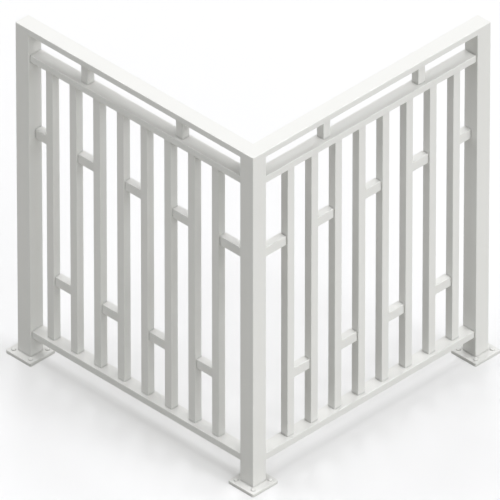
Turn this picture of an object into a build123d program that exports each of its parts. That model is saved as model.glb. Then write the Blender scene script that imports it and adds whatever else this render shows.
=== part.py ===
from build123d import *
import os

os.makedirs("parts", exist_ok=True)

# Overall size of the railing, in millimetres
total_height = 1100.0
bay_length = 860.0            # corner post centre to end post centre

# Posts and their base plates
post_size = 50.0
post_wall = 3.0
post_radius = 2.0             # also of the top rail's upper and upright edges
plate_size = 97.0
plate_thickness = 10.0
plate_radius = 5.0
plate_edge_chamfer = 1.0
anchor_spacing = 66.0         # centre to centre of the anchor holes, both ways
anchor_hole = 9.0

# Top rail, a flat tube as wide as the posts that runs over their heads
top_rail_height = 19.0
end_cap_thickness = 3.0

# Mid rail and bottom rail, one tube size, set back from the outer face
rail_depth = 44.0
rail_height = 22.0
rail_set_back = 6.0
mid_rail_drop = 89.0          # top of the railing down to the top of the mid rail
bottom_rail_top = 93.0
rail_wall = 2.0               # also of the top rail
rail_radius = 2.0

# Balusters, and the short struts that carry the top rail on the mid rail
bar_size = 26.0
bar_set_back = 18.0
bar_wall = 1.5
bar_radius = 1.5
bar_count = 8
corner_gap = 100.0            # open width between the corner post and the first baluster
end_gap = 48.0                # open width between the last baluster and the end post
strut_count = 2

# Solid spacer blocks between the balusters
spacer_depth = 24.0
spacer_height = 30.0
spacer_set_back = 24.0
spacer_radius = 1.5
upper_spacer_drop = 252.5     # top of the mid rail down to the top of the upper spacers
lower_spacer_rise = 181.0     # top of the bottom rail up to the underside of the lower spacers

# Levels and positions that follow from the sizes above
half_post = post_size / 2
half_bar = bar_size / 2
post_top = total_height - top_rail_height
post_length = post_top - plate_thickness
bar_offset = bar_set_back + half_bar - half_post
rail_offset = rail_set_back + rail_depth / 2 - half_post
spacer_offset = spacer_set_back + spacer_depth / 2 - half_post
rail_length = bay_length - post_size
mid_rail_top = total_height - mid_rail_drop
bar_length = mid_rail_top - rail_height - bottom_rail_top
strut_length = post_top - mid_rail_top
upper_spacer_level = mid_rail_top - upper_spacer_drop - spacer_height / 2
lower_spacer_level = bottom_rail_top + lower_spacer_rise + spacer_height / 2

# Balusters share what the two end gaps leave, and each strut stands half way
# between the two balusters at the middle of its own share of the bay
first_bar = half_post + corner_gap + half_bar
last_bar = bay_length - half_post - end_gap - half_bar
bar_pitch = (last_bar - first_bar) / (bar_count - 1)
bar_places = [first_bar + bar_pitch * number for number in range(bar_count)]
strut_places = []
for number in range(strut_count):
    bars_before = (2 * number + 1) * bar_count // (2 * strut_count)
    strut_places.append(bar_places[bars_before - 1] + bar_pitch / 2)

# The two bays leave the corner post along +X and along +Y
bay_directions = {"right": (1, 0), "left": (0, 1)}


def spot(bay, along, inward, height):
    """Point at a distance along a bay, inward from its centre line, at a height."""
    out_x, out_y = bay_directions[bay]
    return (out_x * along + out_y * inward, out_y * along + out_x * inward, height)


def section_across(bay, along, inward, height):
    """Plane square to a bay, facing away from the corner post."""
    out_x, out_y = bay_directions[bay]
    origin = spot(bay, along, inward, height)
    return Plane(origin=origin, x_dir=(-out_y, out_x, 0), z_dir=(out_x, out_y, 0))


def square_tube(plane, width, depth, wall, radius, length):
    """Hollow tube with its section on a plane, rounded outside and square inside."""
    with BuildPart() as tube:
        with BuildSketch(plane):
            RectangleRounded(width, depth, radius)
            Rectangle(width - 2 * wall, depth - 2 * wall, mode=Mode.SUBTRACT)
        extrude(amount=length)
    return tube


def save(piece, label):
    """Names a finished piece and writes it as its own file."""
    piece.part.label = label
    export_step(piece.part, f"parts/{label}.step")


# Posts and base plates: the corner post stands on the origin
post_spots = {
    "corner": (0.0, 0.0),
    "right_end": (bay_length, 0.0),
    "left_end": (0.0, bay_length),
}
for place, (post_x, post_y) in post_spots.items():
    with BuildPart() as base_plate:
        with BuildSketch(Plane.XY):
            with Locations((post_x, post_y)):
                RectangleRounded(plate_size, plate_size, plate_radius)
        extrude(amount=plate_thickness)
        chamfer(base_plate.faces().sort_by(Axis.Z)[-1].edges(), length=plate_edge_chamfer)
        with Locations((post_x, post_y, plate_thickness)):
            with GridLocations(anchor_spacing, anchor_spacing, 2, 2):
                Hole(radius=anchor_hole / 2)
    save(base_plate, f"{place}_base_plate")

    post_foot = Plane(origin=(post_x, post_y, plate_thickness))
    post = square_tube(post_foot, post_size, post_size, post_wall, post_radius, post_length)
    save(post, f"{place}_post")

for bay, (out_x, out_y) in bay_directions.items():
    # Form of the top rail over the posts, with its upper and upright edges rounded
    # and its lower ones square, so that its faces run on into those of the posts
    top_rail_level = total_height - top_rail_height / 2
    outer_end = bay_length + half_post
    inner_end = section_across(bay, -half_post, 0, top_rail_level)
    with BuildPart() as rail_form:
        with BuildSketch(inner_end):
            Rectangle(post_size, top_rail_height)
        extrude(amount=outer_end + half_post)
        upper_edges = rail_form.faces().sort_by(Axis.Z)[-1].edges()
        upright_edges = rail_form.edges().filter_by(Axis.Z)
        fillet(upper_edges + upright_edges, radius=post_radius)

    # Cap welded over the open outer end of the top rail
    cap_seat = section_across(bay, outer_end - end_cap_thickness, 0, top_rail_level)
    with BuildPart() as end_cap:
        add(rail_form.part)
        split(bisect_by=cap_seat, keep=Keep.TOP)
    save(end_cap, f"{bay}_top_rail_cap")

    # Top rail: that form as a tube up to the cap, mitred where the two bays meet
    mitre = Plane(origin=(0, 0, total_height), z_dir=(out_x - out_y, out_y - out_x, 0))
    with BuildPart() as top_rail:
        add(rail_form.part)
        split(bisect_by=cap_seat, keep=Keep.BOTTOM)
        with BuildSketch(inner_end):
            Rectangle(post_size - 2 * rail_wall, top_rail_height - 2 * rail_wall)
        extrude(amount=outer_end + half_post, mode=Mode.SUBTRACT)
        split(bisect_by=mitre, keep=Keep.TOP)
    save(top_rail, f"{bay}_top_rail")

    # Mid rail and bottom rail, fitted between the faces of two posts
    for name, rail_top in (("mid_rail", mid_rail_top), ("bottom_rail", bottom_rail_top)):
        start = section_across(bay, half_post, rail_offset, rail_top - rail_height / 2)
        rail = square_tube(start, rail_depth, rail_height, rail_wall, rail_radius, rail_length)
        save(rail, f"{bay}_{name}")

    # Balusters stand on the bottom rail and end under the mid rail
    for number, along in enumerate(bar_places, start=1):
        foot = Plane(origin=spot(bay, along, bar_offset, bottom_rail_top))
        baluster = square_tube(foot, bar_size, bar_size, bar_wall, bar_radius, bar_length)
        save(baluster, f"{bay}_baluster_{number}")

    # Struts between mid rail and top rail, half way between two balusters
    for number, along in enumerate(strut_places, start=1):
        foot = Plane(origin=spot(bay, along, bar_offset, mid_rail_top))
        strut = square_tube(foot, bar_size, bar_size, bar_wall, bar_radius, strut_length)
        save(strut, f"{bay}_strut_{number}")

    # Faces that the spacers can meet, post to post: each pair holds one gap
    faces = [half_post]
    for along in bar_places:
        faces += [along - half_bar, along + half_bar]
    faces.append(bay_length - half_post)
    gaps = [(faces[index], faces[index + 1]) for index in range(0, len(faces), 2)]

    # Upper spacers fill every other gap from the corner post, lower ones the rest
    for row, level, row_gaps in (
        ("upper", upper_spacer_level, gaps[0::2]),
        ("lower", lower_spacer_level, gaps[1::2]),
    ):
        with BuildPart() as spacers:
            for gap_start, gap_end in row_gaps:
                with BuildSketch(section_across(bay, gap_start, spacer_offset, level)):
                    RectangleRounded(spacer_depth, spacer_height, spacer_radius)
                extrude(amount=gap_end - gap_start)
        save(spacers, f"{bay}_{row}_spacers")
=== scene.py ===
"""Looks for the corner railing: powder coat, anchor heads, floor, light and camera.

Lengths are in metres, or in millimetres where a name ends in _mm. The frame is
the railing's own: the origin is the middle of the underside of the corner post's
base plate, one bay runs along +X, the other along +Y.
"""

from __future__ import annotations

import logging
import math
from dataclasses import dataclass
from enum import Enum

import bmesh
import bpy
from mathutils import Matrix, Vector

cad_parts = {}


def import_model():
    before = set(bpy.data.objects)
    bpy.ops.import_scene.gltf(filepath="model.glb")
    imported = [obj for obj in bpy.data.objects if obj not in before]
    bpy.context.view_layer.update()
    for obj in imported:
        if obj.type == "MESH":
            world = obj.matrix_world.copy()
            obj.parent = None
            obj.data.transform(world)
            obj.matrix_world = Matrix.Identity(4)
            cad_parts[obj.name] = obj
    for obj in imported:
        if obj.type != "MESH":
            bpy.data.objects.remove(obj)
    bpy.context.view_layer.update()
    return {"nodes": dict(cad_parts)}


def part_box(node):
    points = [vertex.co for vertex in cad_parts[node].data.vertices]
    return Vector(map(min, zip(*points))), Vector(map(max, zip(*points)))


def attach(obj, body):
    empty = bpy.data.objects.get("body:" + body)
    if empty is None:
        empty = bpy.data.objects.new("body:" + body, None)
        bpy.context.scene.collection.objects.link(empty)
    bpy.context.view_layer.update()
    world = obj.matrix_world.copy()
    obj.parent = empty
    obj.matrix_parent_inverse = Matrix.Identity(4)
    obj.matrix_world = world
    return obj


BODY = "root"
MM = 0.001

log = logging.getLogger("railing")


def linear(hex_colour: str) -> tuple[float, float, float, float]:
    """Turn an sRGB hex colour into Blender's linear colour.

    Args:
        hex_colour: Six hex digits, with or without a leading #.

    Returns:
        Linear red, green and blue with an alpha of 1.
    """
    digits = hex_colour.lstrip("#")
    values = [int(digits[at:at + 2], 16) / 255 for at in (0, 2, 4)]
    red, green, blue = [
        value / 12.92 if value <= 0.04045 else ((value + 0.055) / 1.055) ** 2.4 for value in values
    ]
    return (red, green, blue, 1.0)


def add_node(
    tree: bpy.types.NodeTree,
    kind: str,
    settings: dict[str, object] | None = None,
    values: dict[str | int, object] | None = None,
    links: dict[str | int, bpy.types.NodeSocket] | None = None,
) -> bpy.types.Node:
    """Add one shader node with its settings, socket values and incoming links.

    Args:
        tree: Node tree that gets the node.
        kind: Blender's type name of the node.
        settings: Properties of the node itself.
        values: Input socket values by socket name or place.
        links: Output sockets to join to the inputs, by input name or place.

    Returns:
        The new node.
    """
    node = tree.nodes.new(kind)
    for name, value in (settings or {}).items():
        setattr(node, name, value)
    for name, value in (values or {}).items():
        node.inputs[name].default_value = value
    for name, socket in (links or {}).items():
        tree.links.new(socket, node.inputs[name])
    return node


def empty_tree(owner: bpy.types.Material | bpy.types.World) -> bpy.types.NodeTree:
    """Switch a material or world to nodes and hand back its cleared tree.

    Args:
        owner: The material or world.

    Returns:
        Its empty node tree.
    """
    owner.use_nodes = True
    owner.node_tree.nodes.clear()
    return owner.node_tree


def direction(bearing: float, height: float) -> Vector:
    """Turn a bearing and a height into a direction of length 1.

    Args:
        bearing: Degrees from +X towards +Y.
        height: Degrees above the floor.

    Returns:
        The direction, away from the railing.
    """
    turn, rise = math.radians(bearing), math.radians(height)
    return Vector((math.cos(turn) * math.cos(rise), math.sin(turn) * math.cos(rise), math.sin(rise)))


class Spread(Enum):
    """How wide a studio lamp looks from the railing, in degrees."""

    SOFT_BOX = 24.0
    SMALL_BOX = 12.0


@dataclass(frozen=True)
class PowderCoat:
    """Polyester powder coat, sprayed dry on steel and cured in an oven.

    To the eye it is an even off-white satin skin with the faint waviness
    called orange peel, a fine grain in it and hardly any change of tone. Inner
    corners are painted darker, as painted shade where the light is blocked.

    Attributes:
        name: Name of the material.
        thick: Colour where the coat lies thickest.
        thin: Slightly darker colour where it lies thinner.
        corner: Painted shade, a darker colour deep in an inner corner.
        painted_shade_mm: How far out of a corner that reaches.
        closed_in: Share of open space round a point below which it has the corner colour.
        in_the_open: Share of open space above which nothing of that colour is left.
        corner_samples: How many directions are tried to find that share.
        roughness: How smooth the coat cured: satin.
        roughness_swing: How much rougher it is where thinnest, and smoother where thickest.
        peel_mm: Width of one orange-peel wave.
        peel_height_mm: Height of one orange-peel wave.
        grain_mm: Width of one speck of the fine grain.
        grain_height_mm: Height of the fine grain.
        cloud_mm: Width of the soft patches of thinner and thicker coat.
    """

    name: str = "off_white_powder_coat"
    thick: str = "#EBEBE9"
    thin: str = "#E7E7E4"
    corner: str = "#B6B6B3"
    painted_shade_mm: float = 14.0
    closed_in: float = 0.22
    in_the_open: float = 0.8
    corner_samples: int = 8
    roughness: float = 0.42
    roughness_swing: float = 0.04
    peel_mm: float = 3.5
    peel_height_mm: float = 0.020
    grain_mm: float = 0.5
    grain_height_mm: float = 0.003
    cloud_mm: float = 140.0

    def noise(
        self, tree: bpy.types.NodeTree, place: bpy.types.NodeSocket, width_mm: float, detail: float
    ) -> bpy.types.NodeSocket:
        """Add a soft noise whose patches have a real width.

        Args:
            tree: The material's node tree.
            place: Coordinates in metres.
            width_mm: Width of one patch.
            detail: How many finer layers the noise gets.

        Returns:
            The noise as a value about 0.5.
        """
        node = add_node(
            tree,
            "ShaderNodeTexNoise",
            values={"Scale": 1 / (width_mm * MM), "Detail": detail, "Roughness": 0.5},
            links={"Vector": place},
        )
        return node.outputs["Fac"]

    def make(self) -> bpy.types.Material:
        """Build the node material.

        Returns:
            The finished material.
        """
        material = bpy.data.materials.new(self.name)
        tree = empty_tree(material)
        place = add_node(tree, "ShaderNodeTexCoord").outputs["Object"]
        clouds = self.noise(tree, place, self.cloud_mm, 3.0)
        colour = add_node(
            tree,
            "ShaderNodeMix",
            settings={"data_type": "RGBA"},
            values={6: linear(self.thin), 7: linear(self.thick)},
            links={0: clouds},
        )
        # Painted shade: an ambient occlusion node darkens the coat towards the corner colour close to
        # other parts.
        open_share = add_node(
            tree,
            "ShaderNodeAmbientOcclusion",
            settings={"samples": self.corner_samples},
            values={"Distance": self.painted_shade_mm * MM},
        )
        painted_shade_fac = add_node(
            tree,
            "ShaderNodeMapRange",
            settings={"interpolation_type": "SMOOTHSTEP"},
            values={1: self.closed_in, 2: self.in_the_open},
            links={0: open_share.outputs["AO"]},
        )
        # skin is the coat colour with that painted corner shade mixed in.
        skin = add_node(
            tree,
            "ShaderNodeMix",
            settings={"data_type": "RGBA"},
            values={6: linear(self.corner)},
            links={0: painted_shade_fac.outputs[0], 7: colour.outputs[2]},
        )
        sheen = add_node(
            tree,
            "ShaderNodeMapRange",
            values={3: self.roughness + self.roughness_swing, 4: self.roughness - self.roughness_swing},
            links={0: clouds},
        )
        peel = add_node(
            tree,
            "ShaderNodeBump",
            values={"Strength": 1.0, "Distance": self.peel_height_mm * MM},
            links={"Height": self.noise(tree, place, self.peel_mm, 1.0)},
        )
        grain = add_node(
            tree,
            "ShaderNodeBump",
            values={"Strength": 1.0, "Distance": self.grain_height_mm * MM},
            links={
                "Height": self.noise(tree, place, self.grain_mm, 1.0),
                "Normal": peel.outputs["Normal"],
            },
        )
        coat = add_node(
            tree,
            "ShaderNodeBsdfPrincipled",
            values={"Metallic": 0.0, "IOR": 1.5},
            links={
                "Base Color": skin.outputs[2],
                "Roughness": sheen.outputs[0],
                "Normal": grain.outputs["Normal"],
            },
        )
        add_node(tree, "ShaderNodeOutputMaterial", links={"Surface": coat.outputs["BSDF"]})
        return material


@dataclass(frozen=True)
class StudioFloor:
    """Matt pale floor of a photo studio, lifted to near white for the camera alone.

    Attributes:
        name: Name of the material.
        tone: Grey of the floor in the light that it throws back.
        seen_tone: The floor as the camera sees it, a little paler.
        glow: Warm white that only the camera sees on top of that.
        lift: Strength of that glow.
    """

    name: str = "matt_studio_floor"
    tone: str = "#BCBCB9"
    seen_tone: str = "#CFCFD2"
    glow: str = "#FFFFF8"
    lift: float = 0.25

    def make(self) -> bpy.types.Material:
        """Build the node material.

        Returns:
            The finished material.
        """
        material = bpy.data.materials.new(self.name)
        tree = empty_tree(material)
        seen = add_node(tree, "ShaderNodeLightPath").outputs["Is Camera Ray"]
        tone = add_node(
            tree,
            "ShaderNodeMix",
            settings={"data_type": "RGBA"},
            values={6: linear(self.tone), 7: linear(self.seen_tone)},
            links={0: seen},
        )
        matt = add_node(tree, "ShaderNodeBsdfDiffuse", links={"Color": tone.outputs[2]})
        glow = add_node(tree, "ShaderNodeEmission", values={"Color": linear(self.glow)})
        amount = add_node(
            tree,
            "ShaderNodeMath",
            settings={"operation": "MULTIPLY"},
            values={1: self.lift},
            links={0: seen},
        )
        tree.links.new(amount.outputs[0], glow.inputs["Strength"])
        both = add_node(tree, "ShaderNodeAddShader", links={0: matt.outputs[0], 1: glow.outputs[0]})
        add_node(tree, "ShaderNodeOutputMaterial", links={"Surface": both.outputs[0]})
        return material


class Piece:
    """A mesh made here that belongs to the railing."""

    def __init__(self, name: str, finish: bpy.types.Material) -> None:
        """Start an empty piece.

        Args:
            name: Name of the object.
            finish: Its material.
        """
        self.name = name
        self.finish = finish
        self.shape = bmesh.new()

    def finish_up(self, smooth_angle: float = 40.0) -> bpy.types.Object:
        """Turn the shape into an object that rides on the railing.

        Args:
            smooth_angle: Edges flatter than this, in degrees, are shaded smooth.

        Returns:
            The new object.
        """
        bmesh.ops.recalc_face_normals(self.shape, faces=self.shape.faces)
        for face in self.shape.faces:
            face.smooth = True
        for edge in self.shape.edges:
            edge.smooth = edge.calc_face_angle(0.0) < math.radians(smooth_angle)
        mesh = bpy.data.meshes.new(self.name)
        self.shape.to_mesh(mesh)
        self.shape.free()
        mesh.materials.append(self.finish)
        made = bpy.data.objects.new(self.name, mesh)
        bpy.context.scene.collection.objects.link(made)
        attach(made, BODY)
        log.info("%s: %d faces", self.name, len(mesh.polygons))
        return made


@dataclass
class AnchorHeads:
    """Low round-headed anchors that hold a base plate down.

    Attributes:
        spacing: Centre to centre, both ways.
        head_radius: Radius of the head.
        rim_height: Upright rim below the dome.
        head_height: Plate to the top of the dome.
        shank_radius: Radius of the shank in the plate's hole.
        shank_foot: Height of the shank's lower end above the floor.
        seat_sink: How far the head is pressed into the plate's coat.
        edge_run: How far the broken lower edge of the rim runs in.
        edge_rise: How far it runs up.
        turns: Segments round the head.
        dome_steps: Rings from the rim to the top of the dome.
        merge: Points closer than this become one.
    """

    spacing: float = 66 * MM
    head_radius: float = 6.3 * MM
    rim_height: float = 2.8 * MM
    head_height: float = 5.2 * MM
    shank_radius: float = 3.9 * MM
    shank_foot: float = 1.0 * MM
    seat_sink: float = 0.05 * MM
    edge_run: float = 0.25 * MM
    edge_rise: float = 0.3 * MM
    turns: int = 48
    dome_steps: int = 10
    merge: float = 0.005 * MM

    def outline(self, plate_top: float) -> list[tuple[float, float]]:
        """Half section of shank and head, from the foot of the axis to its top.

        Args:
            plate_top: Height of the plate's upper face.

        Returns:
            Points as radius and height.
        """
        seat = plate_top - self.seat_sink
        rim = plate_top + self.rim_height
        dome = self.head_height - self.rim_height
        points = [
            (0.0, self.shank_foot),
            (self.shank_radius, self.shank_foot),
            (self.shank_radius, seat),
            (self.head_radius - self.edge_run, seat),
            (self.head_radius, seat + self.edge_rise),
        ]
        for step in range(self.dome_steps):
            angle = math.pi / 2 * step / self.dome_steps
            points.append((self.head_radius * math.cos(angle), rim + dome * math.sin(angle)))
        points.append((0.0, plate_top + self.head_height))
        return points

    def build(self, plate: str, finish: bpy.types.Material) -> None:
        """Set the four anchors of one base plate.

        Args:
            plate: Name of the base plate's node.
            finish: Material of the heads.
        """
        low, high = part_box(plate)
        middle = (Vector(low) + Vector(high)) / 2
        piece = Piece(plate.replace("base_plate", "anchors"), finish)
        half = self.spacing / 2
        for out_x in (-half, half):
            for out_y in (-half, half):
                spot = Vector((middle.x + out_x, middle.y + out_y, 0.0))
                verts = [
                    piece.shape.verts.new(spot + Vector((radius, 0.0, height)))
                    for radius, height in self.outline(high[2])
                ]
                edges = [piece.shape.edges.new(pair) for pair in zip(verts, verts[1:])]
                bmesh.ops.spin(
                    piece.shape,
                    geom=verts + edges,
                    cent=spot,
                    axis=(0.0, 0.0, 1.0),
                    angle=math.tau,
                    steps=self.turns,
                    use_merge=True,
                )
        bmesh.ops.remove_doubles(piece.shape, verts=piece.shape.verts, dist=self.merge)
        piece.finish_up()


@dataclass(frozen=True)
class Lamp:
    """Soft studio lamp so far away that its light comes in parallel.

    Attributes:
        name: Name of the lamp.
        bearing: Where it hangs, in degrees from +X towards +Y.
        height: How high it hangs, in degrees above the floor.
        strength: Light it throws on a face square to it.
        spread: How wide it looks from the railing.
    """

    name: str
    bearing: float
    height: float
    strength: float
    spread: Spread = Spread.SOFT_BOX

    def hang(self) -> None:
        """Add the lamp to the scene, aimed at the railing."""
        data = bpy.data.lights.new(self.name, "SUN")
        data.energy = self.strength
        data.angle = math.radians(self.spread.value)
        lamp = bpy.data.objects.new(self.name, data)
        lamp.rotation_mode = "QUATERNION"
        lamp.rotation_quaternion = direction(self.bearing, self.height).to_track_quat("Z", "Y")
        bpy.context.scene.collection.objects.link(lamp)
        log.info("lamp %s: hung", self.name)


@dataclass
class Studio:
    """Pale floor, soft light and the long-lens camera of the photograph.

    Attributes:
        floor_size: Width of the square floor.
        look_at: Point that sits at the middle of the picture.
        camera_bearing: Where the camera stands, in degrees from +X towards +Y.
        camera_height: Height of the camera above the floor, in degrees.
        lens: Focal length in millimetres, so long that parallel lines stay nearly parallel.
        sensor: Width of the sensor in millimetres.
        picture_width: Width of what the picture shows at the look_at point.
        backdrop: How near to white the camera sees the backdrop.
        square_on: Bearing square on to the outer face of the right bay, in degrees.
        ring_bearings: Where the ring of equal lamps hangs, in degrees.
        ring_height: Height of the ring above the floor, in degrees.
        ring_strength: Strength of each lamp in the ring.
        front_turn: How far the pair in front stands to each side of that, in degrees.
        front_height: Height of that pair, in degrees.
        front_strength: Strength of each of the pair.
    """

    floor_size: float = 60.0
    look_at: tuple[float, float, float] = (0.2687, 0.2805, 0.4993)
    camera_bearing: float = 225.0
    camera_height: float = 35.32
    lens: float = 1600.0
    sensor: float = 36.0
    picture_width: float = 1.3566
    backdrop: float = 0.98
    square_on: float = 270.0
    ring_bearings: tuple[int, ...] = (90, 135, 180, 315)
    ring_height: float = 50.0
    ring_strength: float = 0.45
    front_turn: float = 20.0
    front_height: float = 30.0
    front_strength: float = 0.45

    def place_camera(self) -> None:
        """Add the camera and aim it along the photograph's line of sight."""
        back = direction(self.camera_bearing, self.camera_height)
        distance = self.picture_width * self.lens / self.sensor
        data = bpy.data.cameras.new("camera")
        data.lens, data.sensor_width = self.lens, self.sensor
        data.clip_start, data.clip_end = 1.0, distance * 3
        camera = bpy.data.objects.new("camera", data)
        camera.location = Vector(self.look_at) + back * distance
        camera.rotation_mode = "QUATERNION"
        camera.rotation_quaternion = (-back).to_track_quat("-Z", "Y")
        bpy.context.scene.collection.objects.link(camera)
        bpy.context.scene.camera = camera

    def lay_floor(self) -> None:
        """Lay the floor under the base plates."""
        shape = bmesh.new()
        bmesh.ops.create_grid(shape, x_segments=1, y_segments=1, size=self.floor_size / 2)
        mesh = bpy.data.meshes.new("floor")
        shape.to_mesh(mesh)
        shape.free()
        mesh.materials.append(StudioFloor().make())
        floor = bpy.data.objects.new("floor", mesh)
        bpy.context.scene.collection.objects.link(floor)

    def set_world(self) -> None:
        """Give the camera a near-white backdrop that throws no light on the railing."""
        world = bpy.data.worlds.new("pale_backdrop")
        tree = empty_tree(world)
        seen = add_node(tree, "ShaderNodeLightPath").outputs["Is Camera Ray"]
        amount = add_node(
            tree,
            "ShaderNodeMath",
            settings={"operation": "MULTIPLY"},
            values={1: self.backdrop},
            links={0: seen},
        )
        backdrop = add_node(
            tree,
            "ShaderNodeBackground",
            values={"Color": linear("#FFFFFF")},
            links={"Strength": amount.outputs[0]},
        )
        add_node(tree, "ShaderNodeOutputWorld", links={"Surface": backdrop.outputs["Background"]})
        bpy.context.scene.world = world

    def lamps(self) -> list[Lamp]:
        """Lay out the rig: a ring, a pair in front, and single lamps above, low in front and behind.

        Returns:
            Every lamp of the rig.
        """
        small = Spread.SMALL_BOX
        rig = [
            Lamp(f"ring_{bearing}", bearing, self.ring_height, self.ring_strength)
            for bearing in self.ring_bearings
        ]
        for side, name in ((-1, "front_left"), (1, "front_right")):
            bearing = self.square_on + side * self.front_turn
            rig.append(Lamp(name, bearing, self.front_height, self.front_strength))
        rig.append(Lamp("overhead", bearing=0.0, height=90.0, strength=1.1))
        rig.append(Lamp("front_low", bearing=self.square_on, height=10.0, strength=0.65))
        rig.append(Lamp("front_high", bearing=285.0, height=55.0, strength=0.4, spread=small))
        rig.append(Lamp("behind", bearing=45.0, height=60.0, strength=0.5, spread=small))
        return rig

    def build(self) -> None:
        """Set up floor, light, camera and the plain view transform."""
        self.lay_floor()
        self.set_world()
        for lamp in self.lamps():
            lamp.hang()
        self.place_camera()
        bpy.context.scene.view_settings.view_transform = "Standard"


def main() -> None:
    """Dress the railing and light it."""
    logging.basicConfig(level=logging.INFO, format="%(name)s: %(message)s")
    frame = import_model()
    coat = PowderCoat().make()
    for name, node in frame["nodes"].items():
        node.data.materials.clear()
        node.data.materials.append(coat)
        log.info("%s: coated", name)
    for name in frame["nodes"]:
        if name.endswith("_base_plate"):
            AnchorHeads().build(name, coat)
    Studio().build()


if __name__ == "__main__":
    main()
